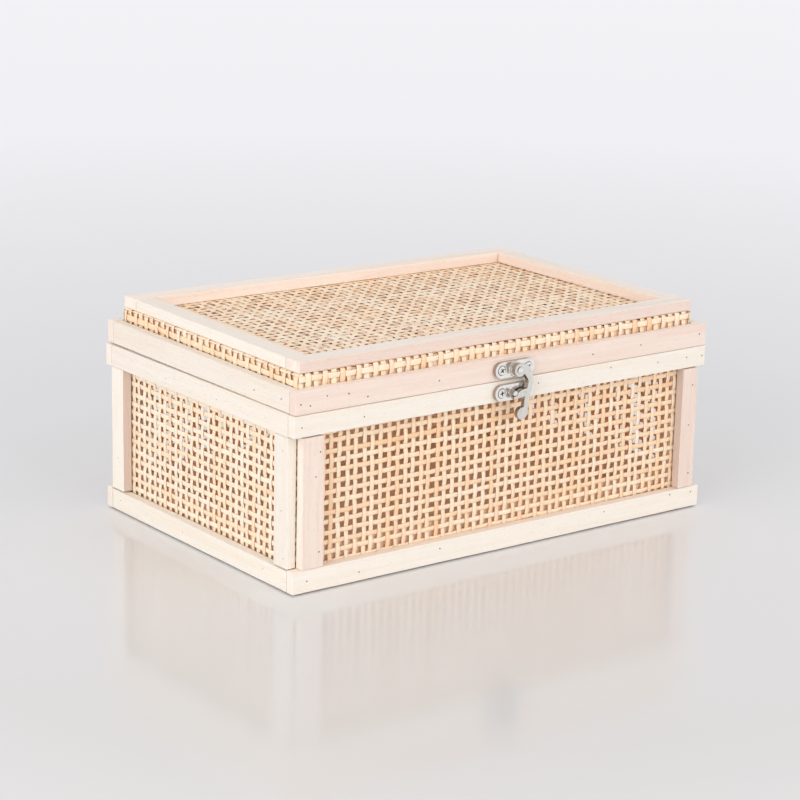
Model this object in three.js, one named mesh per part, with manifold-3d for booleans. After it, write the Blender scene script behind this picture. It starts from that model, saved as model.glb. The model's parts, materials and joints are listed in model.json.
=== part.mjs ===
// A lidded keepsake box: a frame of flat wooden strips with woven cane panels trapped behind them,
// a cane-covered lid on two butt hinges, and a swing-arm latch at the front.
// Millimetres, +Z up, front towards -Y, origin in the middle of the underside.

import * as THREE from 'three';
import { mergeVertices } from 'three/addons/utils/BufferGeometryUtils.js';
import Module from 'manifold-3d';

const wasm = await Module();
wasm.setup();

// Box, over the strips of its body
const boxLength = 280;
const boxWidth = 182;
const bodyHeight = 93.5;
const boardThickness = 4;

// Strip stock for rails, stiles and the frame on top, and how it is put together
const stripWidth = 12;
const stripThickness = 5.5;
const glueLine = 0.1;
const stileGap = 0.5;

// Cane sheet, and the wood that backs it inside. The open weave is drawn as a plain grid of square
// openings, fewer and larger than the real ones, with about the same share of the sheet open.
const caneThickness = 1.4;
const openingSide = 9.3;
const openingPitch = 20.5;
const postSide = 11;
const innerStripThickness = 5.5;
const innerBaseHeight = 18;

// Lid
const lidGap = 0.3;
const lidInset = 0.4;
const bandHeight = 7.7;
const coreThickness = 5.5;
const topFrameInset = 1;

// Butt hinges
const hingeFromEnd = 55;
const hingeLength = 25;
const leafHeight = 9;
const leafThickness = 1;
const leafHoleRadius = 1.3;
const leafHoleSpacing = 14;
const pinRadius = 1;
const pinClearance = 0.12;
const knuckleWall = 0.9;
const knuckleLength = 8;
const knuckleGap = 0.3;
const knuckleStandoff = 0.15;

// Latch plates and their countersunk screws
const plateLength = 26.6;
const plateHeight = 8.9;
const plateThickness = 2.4;
const screwSpacing = 17.8;
const screwHeadRadius = 2.5;
const screwHeadDepth = 1.3;
const screwShankRadius = 1.2;
const screwTipLength = 1.5;
const screwTipCover = 0.7;
const screwClearance = 0.3;

// Swinging arm, its boss and rivet, and the post that it hooks
const bossRadius = 4.2;
const bossStepRadius = 3.4;
const bossHeight = 0.6;
const bossStepHeight = 0.6;
const armThickness = 2.8;
const armGap = 0.2;
const eyeRadius = 3.7;
const armHalfWidth = 1.6;
const armBulge = 7.2;
const noseHalfWidth = 2.1;
const lipHalfWidth = 0.8;
const tabRadius = 3.4;
const tabOffset = 2.3;
const tabDrop = 11.6;
const rivetRadius = 1.2;
const rivetHeadRadius = 1.9;
const rivetHeadHeight = 0.9;
const rivetClearance = 0.2;
const postRadius = 1.5;
const postTipRadius = 1;
const postOffset = -2.8;
const postProud = 0.4;
const notchClearance = 0.3;
const notchSweep = Math.PI / 3;

// How finely round and curved shapes are cut
const roundSides = 24;
const curveSteps = 5;
const bendShare = 0.9;
const cutMargin = 1;

// Finishes
const paleWood = { color: 0xf2e4cf, roughness: 0.75, metalness: 0 };
const rosyWood = { color: 0xeed3c1, roughness: 0.75, metalness: 0 };
const innerWood = { color: 0xe3cba8, roughness: 0.8, metalness: 0 };
const cane = { color: 0xe9c48f, roughness: 0.6, metalness: 0 };
const nickel = { color: 0xcfcdc8, roughness: 0.3, metalness: 1 };

// Places that several pieces share, measured from the middle of the box
const halfLength = boxLength / 2;
const halfWidth = boxWidth / 2;
const rimBottom = bodyHeight - stripWidth;
const caneInset = stripThickness + glueLine;
const backingInset = caneInset + caneThickness + glueLine;
const postInset = backingInset + postSide;
const boardTop = boardThickness + glueLine;
const stileEndX = halfLength - stripThickness - stileGap;
const stileEndY = halfWidth - stripThickness - glueLine;

const lidHalfLength = halfLength - lidInset;
const lidHalfWidth = halfWidth - lidInset;
const lidUnderside = bodyHeight + lidGap;
const lidCaneTop = stripWidth + bandHeight;
const topFrameX = lidHalfLength - caneInset - topFrameInset;
const topFrameY = lidHalfWidth - caneInset - topFrameInset;

const lidRailMiddle = lidUnderside + stripWidth / 2;
const rimRailMiddle = bodyHeight - stripWidth / 2;
const armReach = lidRailMiddle - rimRailMiddle;

const knuckleRadius = pinRadius + pinClearance + knuckleWall;
const pinStandoff = knuckleRadius + knuckleStandoff;
const pinHeight = bodyHeight + lidGap / 2;

const plateFront = glueLine + plateThickness;
const screwLength = plateFront + stripThickness - screwTipCover;
const armBack = plateFront + bossHeight + bossStepHeight + armGap;
const armFront = armBack + armThickness;

// Local axes of a shape that is drawn on the front face
const facingFront = new THREE.Matrix4().makeBasis(
  new THREE.Vector3(1, 0, 0),
  new THREE.Vector3(0, 0, 1),
  new THREE.Vector3(0, -1, 0),
);

// A closed geometry as a solid that can be joined and cut
function toSolid(geometry) {
  const bare = geometry.clone();
  bare.deleteAttribute('normal');
  bare.deleteAttribute('uv');
  const merged = mergeVertices(bare);
  const corners = merged.index.array;
  const triangles = [];
  for (let i = 0; i < corners.length; i += 3) {
    const [a, b, c] = corners.slice(i, i + 3);
    if (a !== b && b !== c && c !== a) triangles.push(a, b, c);
  }
  return new wasm.Manifold(new wasm.Mesh({
    numProp: 3,
    vertProperties: Float32Array.from(merged.attributes.position.array),
    triVerts: Uint32Array.from(triangles),
  }));
}

function toGeometry(solid) {
  const mesh = solid.getMesh();
  const geometry = new THREE.BufferGeometry();
  geometry.setAttribute('position', new THREE.BufferAttribute(mesh.vertProperties, 3));
  geometry.setIndex(new THREE.BufferAttribute(mesh.triVerts, 1));
  geometry.computeVertexNormals();
  return geometry;
}

function join(...geometries) {
  return toGeometry(geometries.map(toSolid).reduce((whole, next) => whole.add(next)));
}

function cut(geometry, ...tools) {
  return toGeometry(tools.map(toSolid).reduce((rest, tool) => rest.subtract(tool), toSolid(geometry)));
}

function addMesh(group, name, geometry, look) {
  const mesh = new THREE.Mesh(geometry, new THREE.MeshStandardMaterial(look));
  mesh.name = name;
  group.add(mesh);
  return mesh;
}

// A square-edged bar between two opposite corners
function addBar(group, name, look, low, high) {
  const size = high.map((value, axis) => value - low[axis]);
  const mesh = addMesh(group, name, new THREE.BoxGeometry(...size), look);
  mesh.position.set(...low.map((value, axis) => value + size[axis] / 2));
  return mesh;
}

// Four bars in a rectangle: front and rear run full length, left and right butt between them
function addFrame(group, name, looks, halfX, halfY, depth, bottom, top) {
  const sideEnd = halfY - depth - glueLine;
  addBar(group, `${name}_front`, looks.front, [-halfX, -halfY, bottom], [halfX, -halfY + depth, top]);
  addBar(group, `${name}_rear`, looks.rear, [-halfX, halfY - depth, bottom], [halfX, halfY, top]);
  addBar(group, `${name}_left`, looks.left, [-halfX, -sideEnd, bottom], [-halfX + depth, sideEnd, top]);
  addBar(group, `${name}_right`, looks.right, [halfX - depth, -sideEnd, bottom], [halfX, sideEnd, top]);
}

function allSides(look) {
  return { front: look, rear: look, left: look, right: look };
}

// A shape drawn on the front face, raised towards the front
function raised(shape, depth) {
  const settings = { depth, bevelEnabled: false, curveSegments: roundSides / 2 };
  return new THREE.ExtrudeGeometry(shape, settings).applyMatrix4(facingFront);
}

function disc(radius) {
  return new THREE.Shape().absarc(0, 0, radius, 0, 2 * Math.PI);
}

function pill(length, height) {
  const radius = height / 2;
  const middle = length / 2 - radius;
  return new THREE.Shape()
    .absarc(middle, 0, radius, -Math.PI / 2, Math.PI / 2)
    .absarc(-middle, 0, radius, Math.PI / 2, 1.5 * Math.PI);
}

// A strip with a curved middle line, given as places and half widths along it.
// On the inside of a bend its edge stays within the bend's own radius, so that it never crosses itself.
function curvedStrip(stations) {
  const line = new THREE.SplineCurve(stations.map(([x, z]) => new THREE.Vector2(x, z)));
  const spans = stations.length - 1;
  const steps = spans * curveSteps;
  const left = [];
  const right = [];
  for (let step = 0; step <= steps; step += 1) {
    const along = step / steps;
    const span = Math.min(Math.floor(along * spans), spans - 1);
    const half = THREE.MathUtils.lerp(stations[span][2], stations[span + 1][2], along * spans - span);
    const behind = Math.max(along - 1 / steps, 0);
    const ahead = Math.min(along + 1 / steps, 1);
    const before = line.getTangent(behind);
    const after = line.getTangent(ahead);
    const turn = Math.atan2(before.cross(after), before.dot(after));
    const bendRadius = line.getPoint(behind).distanceTo(line.getPoint(ahead)) / Math.abs(turn);
    const innerHalf = Math.min(half, bendShare * bendRadius);
    const point = line.getPoint(along);
    const across = line.getTangent(along).rotateAround(new THREE.Vector2(), Math.PI / 2);
    left.push(point.clone().addScaledVector(across, turn > 0 ? innerHalf : half));
    right.push(point.clone().addScaledVector(across, turn > 0 ? -half : -innerHalf));
  }
  return new THREE.Shape([...right, ...left.reverse()]);
}

// A round piece or cutter about the Y axis, its profile given as [radius, depth] from front to back
function turned(profile) {
  const points = profile.map(([radius, depth]) => new THREE.Vector2(radius, depth));
  return new THREE.LatheGeometry(points, roundSides);
}

// Cutters for a grid of openings that fills a flat field of the given size
function gridCutters(length, width) {
  const columns = Math.round(length / openingPitch);
  const rows = Math.round(width / openingPitch);
  const cutters = [];
  for (let column = 0; column < columns; column += 1) {
    for (let row = 0; row < rows; row += 1) {
      const x = ((column + 0.5) / columns - 0.5) * length;
      const y = ((row + 0.5) / rows - 0.5) * width;
      const cutter = new THREE.BoxGeometry(openingSide, openingSide, caneThickness + 2 * cutMargin);
      cutters.push(cutter.translate(x, y, 0));
    }
  }
  return cutters;
}

// Body
function addBottomBoard(group) {
  const halfX = halfLength - caneInset;
  const halfY = halfWidth - caneInset;
  addBar(group, 'bottom_board', innerWood, [-halfX, -halfY, 0], [halfX, halfY, boardThickness]);
}

function addStiles(group) {
  const bottom = stripWidth + glueLine;
  const top = rimBottom - glueLine;
  const faces = [['front', -halfWidth, rosyWood], ['rear', halfWidth - stripThickness, paleWood]];
  for (const [end, x] of [['left', -stileEndX], ['right', stileEndX - stripWidth]]) {
    for (const [face, y, look] of faces) {
      const high = [x + stripWidth, y + stripThickness, top];
      addBar(group, `${face}_stile_${end}`, look, [x, y, bottom], high);
    }
  }
  for (const [face, x] of [['left', -halfLength], ['right', halfLength - stripThickness]]) {
    for (const [end, y] of [['front', -stileEndY], ['rear', stileEndY - stripWidth]]) {
      const high = [x + stripThickness, y + stripWidth, top];
      addBar(group, `${face}_stile_${end}`, paleWood, [x, y, bottom], high);
    }
  }
}

// Openings in a wall's cane panel, over the part of it that shows between the stiles and the rails
function openPanel(panel, length, turn) {
  const height = rimBottom - stripWidth;
  const middle = (rimBottom + stripWidth) / 2 - panel.position.z;
  const cutters = gridCutters(length, height);
  for (const cutter of cutters) cutter.rotateX(Math.PI / 2).rotateZ(turn).translate(0, 0, middle);
  panel.geometry = cut(panel.geometry, ...cutters);
}

function addCanePanels(group) {
  const halfX = halfLength - caneInset;
  const halfY = halfWidth - caneInset;
  addFrame(group, 'cane', allSides(cane), halfX, halfY, caneThickness, boardTop, bodyHeight);
  for (const face of ['front', 'rear']) {
    openPanel(group.getObjectByName(`cane_${face}`), 2 * (stileEndX - stripWidth), 0);
  }
  for (const face of ['left', 'right']) {
    openPanel(group.getObjectByName(`cane_${face}`), 2 * (stileEndY - stripWidth), Math.PI / 2);
  }
}

function addCornerPosts(group) {
  const outerX = halfLength - backingInset;
  const outerY = halfWidth - backingInset;
  for (const [face, y] of [['front', -outerY], ['rear', outerY - postSide]]) {
    for (const [end, x] of [['left', -outerX], ['right', outerX - postSide]]) {
      const high = [x + postSide, y + postSide, bodyHeight];
      addBar(group, `corner_post_${face}_${end}`, innerWood, [x, y, boardTop], high);
    }
  }
}

// Strips that back the cane on all four walls, cut to fit between the corner posts
function addBackingStrips(group, name, bottom, top) {
  const endX = halfLength - postInset - glueLine;
  const endY = halfWidth - postInset - glueLine;
  const outerX = halfLength - backingInset;
  const outerY = halfWidth - backingInset;
  const thick = innerStripThickness;
  addBar(group, `${name}_front`, innerWood, [-endX, -outerY, bottom], [endX, -outerY + thick, top]);
  addBar(group, `${name}_rear`, innerWood, [-endX, outerY - thick, bottom], [endX, outerY, top]);
  addBar(group, `${name}_left`, innerWood, [-outerX, -endY, bottom], [-outerX + thick, endY, top]);
  addBar(group, `${name}_right`, innerWood, [outerX - thick, -endY, bottom], [outerX, endY, top]);
}

function buildBody() {
  const body = new THREE.Group();
  addBottomBoard(body);
  const looks = allSides(paleWood);
  addFrame(body, 'base_rail', looks, halfLength, halfWidth, stripThickness, 0, stripWidth);
  addFrame(body, 'rim_rail', looks, halfLength, halfWidth, stripThickness, rimBottom, bodyHeight);
  addStiles(body);
  addCanePanels(body);
  addCornerPosts(body);
  addBackingStrips(body, 'inner_base_strip', boardTop, boardTop + innerBaseHeight);
  addBackingStrips(body, 'inner_rim_strip', rimBottom, bodyHeight);
  drillForScrews(body.getObjectByName('rim_rail_front'), [0, -halfWidth, rimRailMiddle]);
  return body;
}

// Lid, with heights from its underside. Its cane cover is open inside the frame on top.
function addLidCane(group) {
  const outerX = lidHalfLength - caneInset;
  const outerY = lidHalfWidth - caneInset;
  const innerX = outerX - caneThickness;
  const innerY = outerY - caneThickness;
  const hollowTop = lidCaneTop - caneThickness;
  const block = new THREE.BoxGeometry(2 * outerX, 2 * outerY, lidCaneTop);
  block.translate(0, 0, lidCaneTop / 2);
  const hollow = new THREE.BoxGeometry(2 * innerX, 2 * innerY, hollowTop + cutMargin);
  hollow.translate(0, 0, (hollowTop - cutMargin) / 2);
  const openings = gridCutters(2 * (topFrameX - stripWidth), 2 * (topFrameY - stripWidth));
  for (const opening of openings) opening.translate(0, 0, hollowTop + caneThickness / 2);
  addMesh(group, 'lid_cane', cut(block, hollow, ...openings), cane);
}

function buildLid() {
  const lid = new THREE.Group();
  lid.position.z = lidUnderside;
  const railLooks = { ...allSides(paleWood), front: rosyWood };
  addFrame(lid, 'lid_rail', railLooks, lidHalfLength, lidHalfWidth, stripThickness, 0, stripWidth);
  const coreX = lidHalfLength - backingInset;
  const coreY = lidHalfWidth - backingInset;
  const coreTop = lidCaneTop - caneThickness - glueLine;
  addFrame(lid, 'lid_core', allSides(innerWood), coreX, coreY, coreThickness, 0, coreTop);
  addLidCane(lid);
  const topBottom = lidCaneTop + glueLine;
  const topLooks = { ...allSides(paleWood), front: rosyWood, rear: rosyWood };
  const topTop = topBottom + stripThickness;
  addFrame(lid, 'top_strip', topLooks, topFrameX, topFrameY, stripWidth, topBottom, topTop);
  drillForScrews(lid.getObjectByName('lid_rail_front'), [0, -lidHalfWidth, stripWidth / 2]);
  return lid;
}

// Hinges, with heights and depths from the pin's axis
function knuckle(start, length) {
  const barrel = new THREE.CylinderGeometry(knuckleRadius, knuckleRadius, length, roundSides);
  return barrel.rotateZ(Math.PI / 2).translate(start + length / 2, 0, 0);
}

// A leaf on the wood's rear face at the given depth, standing up from the pin or hanging down from it
function hingeLeaf(woodFace, direction, knuckles) {
  const knuckleClear = knuckleRadius + knuckleGap;
  const plateHigh = leafHeight - knuckleClear;
  const middleDepth = woodFace + glueLine + leafThickness / 2;
  const middleHeight = direction * (knuckleClear + plateHigh / 2);
  const plate = new THREE.BoxGeometry(hingeLength, leafThickness, plateHigh);
  plate.translate(0, middleDepth, middleHeight);
  const pieces = [plate];
  for (const { start, length } of knuckles) {
    const tongue = new THREE.BoxGeometry(length, leafThickness, Math.abs(middleHeight));
    tongue.translate(start + length / 2, middleDepth, middleHeight / 2);
    pieces.push(tongue, knuckle(start, length));
  }
  const bore = new THREE.CylinderGeometry(
    pinRadius + pinClearance, pinRadius + pinClearance, hingeLength + 2 * cutMargin, roundSides);
  bore.rotateZ(Math.PI / 2);
  const holes = [-1, 1].map((side) => {
    const hole = new THREE.CylinderGeometry(
      leafHoleRadius, leafHoleRadius, leafThickness + 2 * cutMargin, roundSides);
    return hole.translate(side * leafHoleSpacing / 2, middleDepth, middleHeight);
  });
  return cut(join(...pieces), bore, ...holes);
}

function buildHinge(side, x) {
  const hinge = new THREE.Group();
  hinge.position.set(x, halfWidth + pinStandoff, pinHeight);
  const outerKnuckles = [
    { start: -hingeLength / 2, length: knuckleLength },
    { start: hingeLength / 2 - knuckleLength, length: knuckleLength },
  ];
  const middleStart = -hingeLength / 2 + knuckleLength + knuckleGap;
  const middleKnuckle = [{ start: middleStart, length: -2 * middleStart }];
  const boxLeaf = hingeLeaf(-pinStandoff, -1, outerKnuckles);
  const lidLeaf = hingeLeaf(-pinStandoff - lidInset, 1, middleKnuckle);
  const pin = new THREE.CylinderGeometry(pinRadius, pinRadius, hingeLength, roundSides);
  addMesh(hinge, `hinge_${side}_box_leaf`, boxLeaf, nickel);
  addMesh(hinge, `hinge_${side}_lid_leaf`, lidLeaf, nickel);
  addMesh(hinge, `hinge_${side}_pin`, pin.rotateZ(Math.PI / 2), nickel);
  return hinge;
}

// A countersunk latch screw, with depths from the front of the plate into the wood
function screw() {
  return turned([
    [0, 0],
    [screwHeadRadius, 0],
    [screwShankRadius, screwHeadDepth],
    [screwShankRadius, screwLength - screwTipLength],
    [0, screwLength],
  ]);
}

function countersink() {
  const shankHole = screwShankRadius + screwClearance;
  const headHole = screwHeadRadius + screwClearance;
  return turned([
    [0, -cutMargin],
    [headHole, -cutMargin],
    [headHole, 0],
    [shankHole, screwHeadDepth],
    [shankHole, plateThickness + cutMargin],
    [0, plateThickness + cutMargin],
  ]);
}

// Blind holes in a rail for a plate's two screws, the plate's centre given on the rail's front face
function drillForScrews(rail, centre) {
  const depth = screwLength - plateFront + screwClearance;
  const radius = screwShankRadius + screwClearance;
  const holes = [-1, 1].map((side) => {
    const hole = new THREE.CylinderGeometry(radius, radius, depth + cutMargin, roundSides);
    hole.translate(centre[0] + side * screwSpacing / 2, centre[1] + (depth - cutMargin) / 2, centre[2]);
    return hole.translate(-rail.position.x, -rail.position.y, -rail.position.z);
  });
  rail.geometry = cut(rail.geometry, ...holes);
}

function addScrews(group, name) {
  for (const [end, side] of [['left', -1], ['right', 1]]) {
    const mesh = addMesh(group, `${name}_${end}`, screw(), nickel);
    mesh.position.set(side * screwSpacing / 2, -plateFront, 0);
  }
}

function plate() {
  return raised(pill(plateLength, plateHeight), plateThickness).translate(0, -glueLine, 0);
}

function countersinks() {
  return [-1, 1].map((side) => countersink().translate(side * screwSpacing / 2, -plateFront, 0));
}

// Upper half of the latch, with places from the rivet's axis on the lid rail's front face
function addLatchPlate(group) {
  const boss = raised(disc(bossRadius), bossHeight + plateThickness / 2);
  boss.translate(0, plateThickness / 2 - plateFront, 0);
  const step = raised(disc(bossStepRadius), bossStepHeight + bossHeight);
  step.translate(0, -plateFront, 0);
  const shankHole = raised(disc(rivetRadius + rivetClearance), armBack + cutMargin);
  shankHole.translate(0, cutMargin, 0);
  const body = join(plate(), boss, step);
  addMesh(group, 'latch_plate', cut(body, shankHole, ...countersinks()), nickel);
}

function addRivet(group) {
  const headBack = armFront + armGap;
  const profile = [];
  const domeSteps = roundSides / 4;
  for (let step = 0; step <= domeSteps; step += 1) {
    const angle = (step / domeSteps) * Math.PI / 2;
    profile.push([rivetHeadRadius * Math.sin(angle), -headBack - rivetHeadHeight * Math.cos(angle)]);
  }
  profile.push([rivetRadius, -headBack], [rivetRadius, -glueLine], [0, -glueLine]);
  addMesh(group, 'latch_rivet', turned(profile), nickel);
}

// The arm hangs from its eye, curves out and back to a nose under the post, and ends in a finger tab.
// Each station along its middle line is a place and a half width.
function armOutline() {
  const noseHeight = -armReach - notchClearance;
  const tabHeight = -armReach - tabDrop;
  const lipHeight = -armReach - postRadius - notchClearance - lipHalfWidth;
  const root = [0, 0, armHalfWidth * 2];
  const shoulder = [armBulge * 0.58, -armReach * 0.02, armHalfWidth * 1.6];
  const upperBend = [armBulge, -armReach * 0.45, armHalfWidth];
  const lowerBend = [armBulge, -armReach * 0.75, armHalfWidth];
  const waist = [armBulge * 0.75, -armReach - tabDrop * 0.25, armHalfWidth];
  const wrist = [tabOffset + tabRadius * 0.75, -armReach - tabDrop * 0.7, armHalfWidth];
  const tabEdge = [tabOffset + tabRadius - armHalfWidth, tabHeight, armHalfWidth];
  const horn = curvedStrip([root, shoulder, upperBend, lowerBend, waist, wrist, tabEdge]);

  const noseRoot = [armBulge, noseHeight, noseHalfWidth];
  const noseMiddle = [armBulge * 0.3, noseHeight - notchClearance, noseHalfWidth];
  const lip = [postOffset - lipHalfWidth, lipHeight, lipHalfWidth];
  const nose = curvedStrip([noseRoot, noseMiddle, lip]);

  const eye = disc(eyeRadius);
  const tab = new THREE.Shape().absarc(tabOffset, tabHeight, tabRadius, 0, 2 * Math.PI);
  return [eye, horn, nose, tab];
}

// The way that the post takes out of the nose as the arm swings away
function notchPath() {
  const radius = Math.hypot(postOffset, armReach);
  const half = postRadius + notchClearance;
  const hooked = Math.atan2(-armReach, postOffset);
  const outer = radius + half;
  const inner = radius - half;
  const way = new THREE.Shape()
    .absarc(0, 0, outer, hooked - notchSweep, hooked)
    .absarc(0, 0, inner, hooked, hooked - notchSweep, true);
  const seat = new THREE.Shape().absarc(postOffset, -armReach, half, 0, 2 * Math.PI);
  return [way, seat];
}

function addLatchArm(group) {
  const cutter = (shape) => raised(shape, armThickness + 2 * cutMargin).translate(0, cutMargin, 0);
  const whole = join(...armOutline().map((shape) => raised(shape, armThickness)));
  const rivetHole = disc(rivetRadius + rivetClearance);
  const arm = cut(whole, cutter(rivetHole), ...notchPath().map(cutter));
  addMesh(group, 'latch_arm', arm, nickel).position.y = -armBack;
}

// Lower half of the latch, with places from the middle of its plate on the rim rail's front face
function addKeeper(group) {
  const postFront = armFront - lidInset + postProud;
  const post = turned([
    [0, -postFront],
    [postTipRadius, -postFront],
    [postRadius, -postFront + postProud],
    [postRadius, -plateFront + plateThickness / 2],
    [0, -plateFront + plateThickness / 2],
  ]);
  post.translate(postOffset, 0, 0);
  addMesh(group, 'latch_keeper', join(cut(plate(), ...countersinks()), post), nickel);
}

function buildLatch() {
  const upper = new THREE.Group();
  upper.position.set(0, -lidHalfWidth, lidRailMiddle);
  addLatchPlate(upper);
  addScrews(upper, 'latch_screw');
  addRivet(upper);
  addLatchArm(upper);
  const lower = new THREE.Group();
  lower.position.set(0, -halfWidth, rimRailMiddle);
  addKeeper(lower);
  addScrews(lower, 'keeper_screw');
  return [upper, lower];
}

const box = new THREE.Group();
box.add(buildBody(), buildLid(), ...buildLatch());
box.add(buildHinge('left', -halfLength + hingeFromEnd), buildHinge('right', halfLength - hingeFromEnd));

export default box;
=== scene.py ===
# The looks of a keepsake box: sawn wooden strips, woven cane, bright nickel hinges and a swing-arm latch.
# Metres, +Z up, front towards -Y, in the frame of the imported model.

import json
import math
import random

import bmesh
import bpy
import numpy as np
from mathutils import Matrix, Vector


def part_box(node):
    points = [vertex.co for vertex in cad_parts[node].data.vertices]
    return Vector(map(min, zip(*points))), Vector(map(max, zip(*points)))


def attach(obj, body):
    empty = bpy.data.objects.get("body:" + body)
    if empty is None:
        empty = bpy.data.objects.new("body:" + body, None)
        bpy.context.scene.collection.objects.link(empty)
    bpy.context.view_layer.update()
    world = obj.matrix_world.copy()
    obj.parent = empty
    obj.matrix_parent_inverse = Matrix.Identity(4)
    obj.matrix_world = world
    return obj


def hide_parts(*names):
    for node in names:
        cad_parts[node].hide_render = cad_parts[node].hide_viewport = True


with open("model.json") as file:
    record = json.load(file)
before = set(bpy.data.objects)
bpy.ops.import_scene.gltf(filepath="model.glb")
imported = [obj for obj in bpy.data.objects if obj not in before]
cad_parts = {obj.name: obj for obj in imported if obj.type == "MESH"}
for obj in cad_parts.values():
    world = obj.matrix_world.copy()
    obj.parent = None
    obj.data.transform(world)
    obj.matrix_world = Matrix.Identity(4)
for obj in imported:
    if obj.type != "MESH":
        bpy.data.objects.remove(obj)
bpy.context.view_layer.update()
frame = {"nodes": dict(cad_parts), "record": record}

MM = 0.001

# Finishes: where nearly all of a noise lies, and the strength and height of each bump
NOISE_RANGE = (0.3, 0.7)
WOOD_BUMP = (0.35, 0.08 * MM)
METAL_BUMP = (0.05, 0.02 * MM)
CANE_BUMP = (0.3, 0.05 * MM)

# Wooden strips
EDGE_ROUND = 0.3 * MM
EDGE_STEPS = 3
SAW_WANDER = 0.12 * MM
SAW_SECTION = 14 * MM
SHARP_ANGLE = math.radians(35)
GRAIN_SPREAD = 500
BLUSH_AND_SHADE_COLOUR = (0.89, 0.72, 0.63)
# How rosy a strip's faces are, for the faces across X, Y and Z, and above 1 how dark: partly the wood's own
# rosy cut, partly painted shade on faces that lie in shadow
STRIP_BLUSH_AND_SHADE = {
    "front_stile_left": (0.1, 0.8, 0.3), "front_stile_right": (1.5, 1.0, 0.3),
    "lid_rail_front": (1.1, 0.9, 0.5), "lid_rail_rear": (0.6, 0.0, 0.0), "lid_rail_left": (0.2, 0.1, 0.1),
    "top_strip_front": (0.0, 1.1, 0.1), "top_strip_rear": (0.0, 0.5, 0.2),
    "top_strip_left": (0.0, 0.0, 0.2), "top_strip_right": (0.8, 0.2, 0.3),
    "rim_rail_left": (0.12, 0.1, 0.1), "base_rail_front": (0.0, 0.0, 0.7),
    "left_stile_rear": (0.0, 1.35, 0.0),
}
END_GRAIN_BLUSH = 0.12
# How pale a strip is from -1 to 1, where it isn't left to chance
STRIP_TONE = {
    "lid_rail_left": -1.3, "left_stile_front": -0.8, "left_stile_rear": 1.0, "base_rail_front": 1.0,
    "rim_rail_front": 0.2, "base_rail_left": 0.5, "top_strip_rear": 1.4,
}
# How far a strip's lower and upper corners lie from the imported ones, in millimetres
STRIP_TRIM = {
    "front_stile_right": ((2.2, 0, 0), (1.4, 0, 0)), "front_stile_left": ((-0.3, 0, 0), (0.8, 0, 0)),
    "rim_rail_front": ((0, 0, 0.7), (0, 0, 0)), "base_rail_left": ((0, 0, 0), (0, 0, -0.8)),
    "lid_rail_front": ((0, 0, -0.15), (0, 0, 0)), "lid_rail_left": ((0, 0, -0.1), (0, 0, 0)),
    "top_strip_front": ((0, 0, -0.5), (0, 0, 0)), "top_strip_rear": ((0, 0, -0.5), (0, 0, 0)),
    "top_strip_left": ((0, 0, -0.5), (0, 0, 0)), "top_strip_right": ((0, 0, -0.5), (0, 0, 0)),
}
# Strips that butt against two others, with a gap that shows, and how far the strips that show through the
# weave lie behind their packed faces
BUTTED_ENDS = ("rail_left", "rail_right", "top_strip_left", "top_strip_right")
JOINT_GAP = 0.2 * MM
BACKING_GAPS = {"lid_core": 0.1 * MM, "inner_base_strip": 1.0 * MM}
# The lid sits a little to the right, and its rear left corner stands a little high
LID_SHIFT = 0.6 * MM
LID_CORNER_LIFT = 0.7 * MM
LID_CORNER_STRETCH = 0.04

# Woven cane
STRAND_FLATNESS = 1.45
STRAND_WANDER = 0.42 * MM
STRAND_WOBBLE = 0.26 * MM
STRAND_SPREAD = 0.34 * MM
STRAND_TWIST = math.radians(7)
STRAND_STEPS = 4
PROFILE_POWER = 0.45
# Steps from strand to strand, which keep them from sharing a stretch of noise
LANE_STEP = 3.7
TONE_STEP = 97.0
GRAIN_STEP = 41.0
LEVEL_SEED_STEP = 53.0
# The end walls' cane is set paler than the long walls' as painted light, for the brightly lit left wall; the
# right wall shares its layout
END_WALL = {
    "Upright Strands": 30, "Level Strands": 16, "Pitch": 5.35 * MM, "Level Pitch": 5.35 * MM,
    "Side Shift": 0.15 * MM, "Up Shift": -0.02 * MM, "Lean": 0.0, "Level Lean": 0.0, "Ripeness Shift And Painted Light": -0.12,
    "Strand Width": 3.0 * MM, "Level Width": 2.75 * MM, "Strand Thickness": 0.34 * MM, "Wave": 0.18 * MM,
}
LONG_WALL = {
    "Upright Strands": 50, "Level Strands": 16, "Pitch": 5.25 * MM, "Level Pitch": 5.35 * MM,
    "Side Shift": 0.2 * MM, "Up Shift": -1.52 * MM, "Lean": 0.0, "Level Lean": 0.01, "Ripeness Shift And Painted Light": 0.17,
    "Strand Width": 2.7 * MM, "Level Width": 2.6 * MM, "Strand Thickness": 0.34 * MM, "Wave": 0.18 * MM,
}
LID_SHEET = {
    "Upright Strands": 57, "Level Strands": 37, "Pitch": 5.22 * MM, "Level Pitch": 5.47 * MM,
    "Side Shift": -2.3 * MM, "Up Shift": 0.35 * MM, "Lean": 0.005, "Level Lean": 0.0, "Ripeness Shift And Painted Light": 0.1,
    "Strand Width": 3.4 * MM, "Level Width": 3.4 * MM, "Strand Thickness": 0.2 * MM, "Wave": 0.11 * MM,
}
FLAP_LENGTH = 13 * MM
FOLD_RADIUS = 0.7 * MM
FLAP_SWELL = 0.8
CORNER_CLEAR = 0.2 * MM
WALL_PROFILE_POINTS = 8
LID_PROFILE_POINTS = 6
LID_SEED = 15

# Fasteners
BRAD_RADIUS = 0.5 * MM
SIDE_BRAD_RADIUS = 0.34 * MM
BRAD_HEIGHT = 0.12 * MM
LATCH_SCREW_RADIUS = 2.5 * MM
HINGE_SCREW_RADIUS = 2.1 * MM
HINGE_SCREW_SPACING = 14 * MM
# Below this height a screw is darkened as painted shade, in head radii
SCREW_FACE = 0.01
LEAF_THICKNESS = 1.0 * MM
KNUCKLE_CLEAR = 1.32 * MM
# How far they may be turned by chance, in radians
BRAD_TURN = 6
SCREW_TURN = 1.5

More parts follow.
